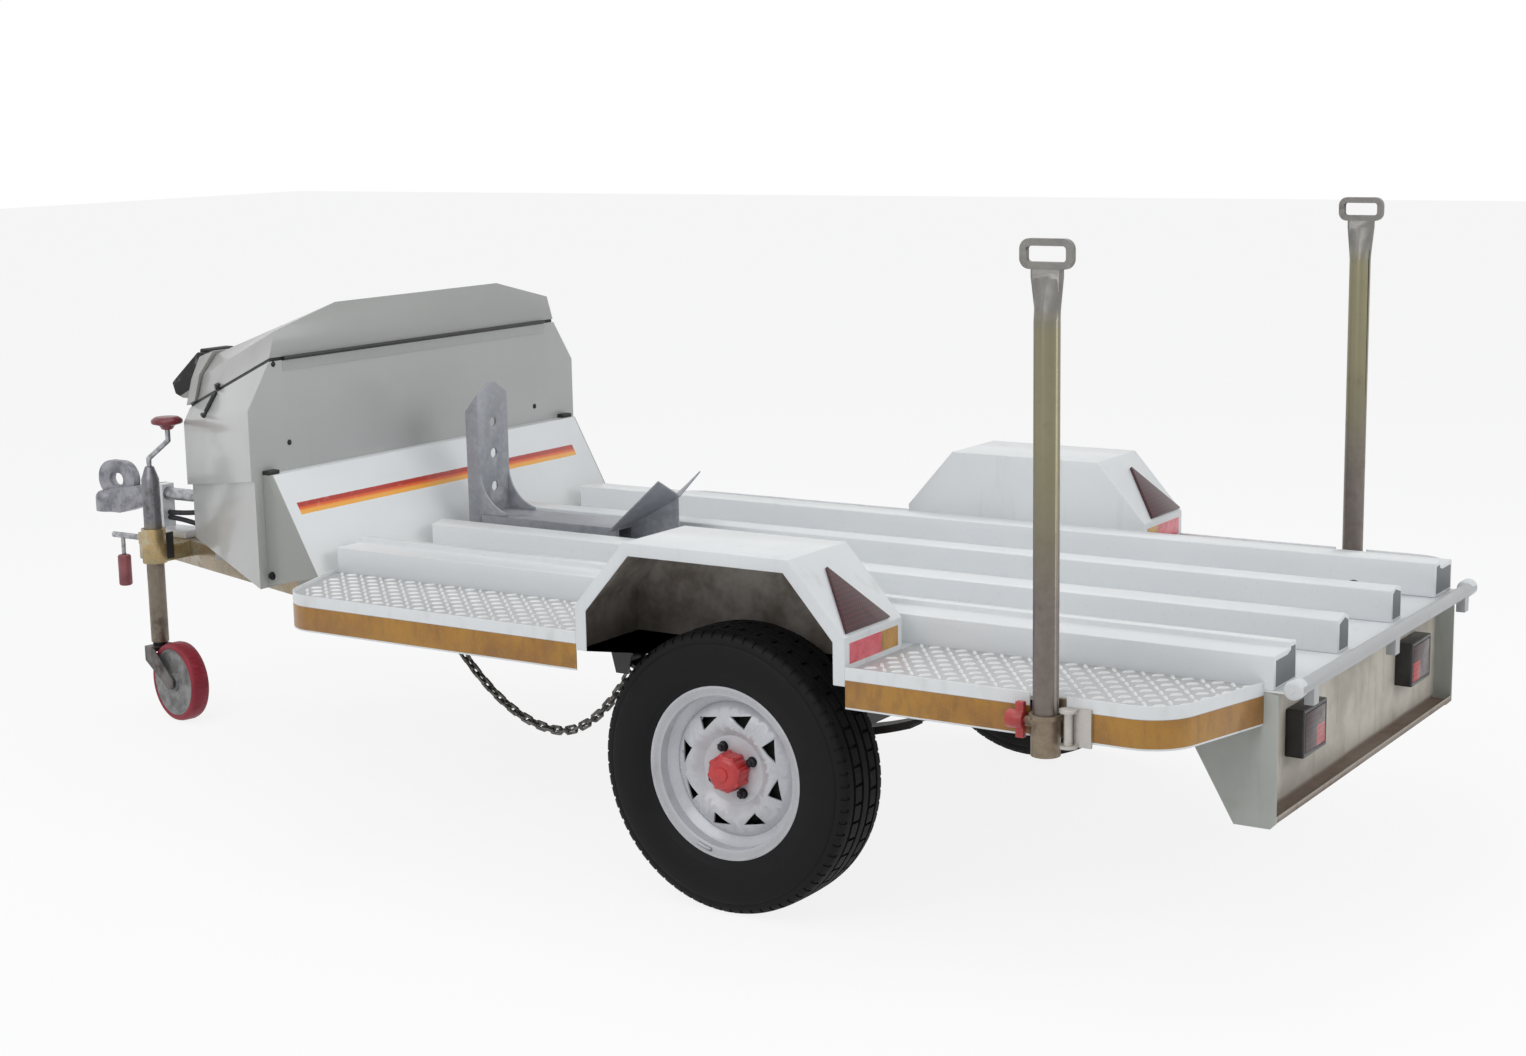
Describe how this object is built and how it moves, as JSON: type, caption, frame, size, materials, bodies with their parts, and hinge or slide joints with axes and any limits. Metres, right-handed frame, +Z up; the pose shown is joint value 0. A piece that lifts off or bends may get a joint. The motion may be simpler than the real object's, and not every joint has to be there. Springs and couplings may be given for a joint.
{
  "type": "motorcycle trailer",
  "caption": "Single-axle motorcycle trailer with wheel channels, a tapered nose box, a jockey wheel, lift-out tie-down masts and a wheel chock",
  "frame": {"origin": "on the ground in the middle of the overall length and width", "axes": "+X forward towards the coupling, +Y left, +Z up"},
  "size_m": [3.788, 1.69, 1.394],
  "materials": {
    "white_paint": "satin white powder coat",
    "grey_paint": "light grey gloss paint",
    "galvanised": "hot-dip galvanised steel",
    "yellow_zinc": "yellow-passivated zinc plate",
    "black_paint": "black chassis paint",
    "cast_grey": "zinc-plated casting",
    "bright_steel": "bright zinc-plated steel",
    "tyre_rubber": "ribbed road tyre",
    "black_rubber": "matt rubber",
    "red_rubber": "solid red rubber tread",
    "red_plastic": "moulded red plastic",
    "red_lens": "red lamp and reflector lens",
    "black_plastic": "moulded black plastic",
    "grey_plastic": "moulded pale grey plastic"
  },
  "bodies": {
    "root": {"arch_reflectors": "red_lens", "axle_beam": "black_paint", "chassis_rails": "white_paint", "chock_cradle": "galvanised", "chock_upright": "galvanised", "clamp_grip": "red_plastic", "clamp_screw": "bright_steel", "coupling_cables": "black_rubber", "coupling_handle": "cast_grey", "coupling_head": "cast_grey", "coupling_mount": "white_paint", "coupling_shaft": "bright_steel", "cross_members": "white_paint", "deck_floor": "white_paint", "deck_rails": "white_paint", "drawbar_left": "yellow_zinc", "drawbar_right": "yellow_zinc", "jockey_clamp": "yellow_zinc", "leaf_springs": "black_paint", "lid_hinge": "grey_paint", "mast_sockets": "yellow_zinc", "nose_body": "grey_paint", "nose_latch": "black_rubber", "nose_seal": "black_rubber", "rear_crossbar": "white_paint", "rear_valance": "white_paint", "safety_chain": "bright_steel", "skirts_left": "white_paint", "skirts_right": "white_paint", "socket_knobs": "red_plastic", "splash_gussets": "grey_paint", "splash_panel": "white_paint", "spring_fittings": "black_paint", "tail_lamp_housings": "black_plastic", "tail_lamp_lenses": "red_lens", "tread_plates": "white_paint", "wheel_arch_left": "white_paint", "wheel_arch_right": "white_paint"},
    "left_wheel": {"tyre_left": "tyre_rubber", "rim_left": "white_paint", "hub_left": "cast_grey", "hub_cap_left": "red_plastic"},
    "right_wheel": {"tyre_right": "tyre_rubber", "rim_right": "white_paint", "hub_right": "cast_grey", "hub_cap_right": "red_plastic"},
    "lid": {"nose_lid": "grey_paint", "latch_catch": "grey_paint"},
    "left_mast": {"mast_left": "yellow_zinc"},
    "right_mast": {"mast_right": "yellow_zinc"},
    "jockey_post": {"jockey_outer_tube": "yellow_zinc", "jockey_crank": "bright_steel", "jockey_grip": "red_plastic"},
    "jockey_leg": {"jockey_inner_tube": "yellow_zinc"},
    "jockey_caster": {"jockey_fork": "yellow_zinc"},
    "jockey_wheel": {"jockey_disc": "grey_plastic", "jockey_tyre": "red_rubber"}
  },
  "joints": [
    {"name": "left_wheel_spin", "type": "hinge", "parent": "root", "child": "left_wheel", "pos_m": [-0.756, 0.6825, 0.297], "axis": [0, 1, 0], "continuous": true},
    {"name": "right_wheel_spin", "type": "hinge", "parent": "root", "child": "right_wheel", "pos_m": [-0.756, -0.6825, 0.297], "axis": [0, 1, 0], "continuous": true},
    {"name": "lid_opening", "type": "hinge", "parent": "root", "child": "lid", "pos_m": [0.655, 0, 1.056], "axis": [0, -1, 0], "range_deg": [0, 80]},
    {"name": "left_mast_lift", "type": "slide", "parent": "root", "child": "left_mast", "axis": [0, 0, 1], "range_m": [0, 0.12]},
    {"name": "right_mast_lift", "type": "slide", "parent": "root", "child": "right_mast", "axis": [0, 0, 1], "range_m": [0, 0.12]},
    {"name": "jockey_clamp_height", "type": "slide", "parent": "root", "child": "jockey_post", "axis": [0, 0, 1], "range_m": [0, 0.12]},
    {"name": "jockey_winding", "type": "slide", "parent": "jockey_post", "child": "jockey_leg", "axis": [0, 0, 1], "range_m": [-0.15, 0.005]},
    {"name": "jockey_swivel", "type": "hinge", "parent": "jockey_leg", "child": "jockey_caster", "pos_m": [1.51, 0.16, 0.194], "axis": [0, 0, 1], "continuous": true},
    {"name": "jockey_wheel_spin", "type": "hinge", "parent": "jockey_caster", "child": "jockey_wheel", "pos_m": [1.41805, 0.17954, 0.1075], "axis": [0.2079, 0.9781, 0], "continuous": true}
  ]
}
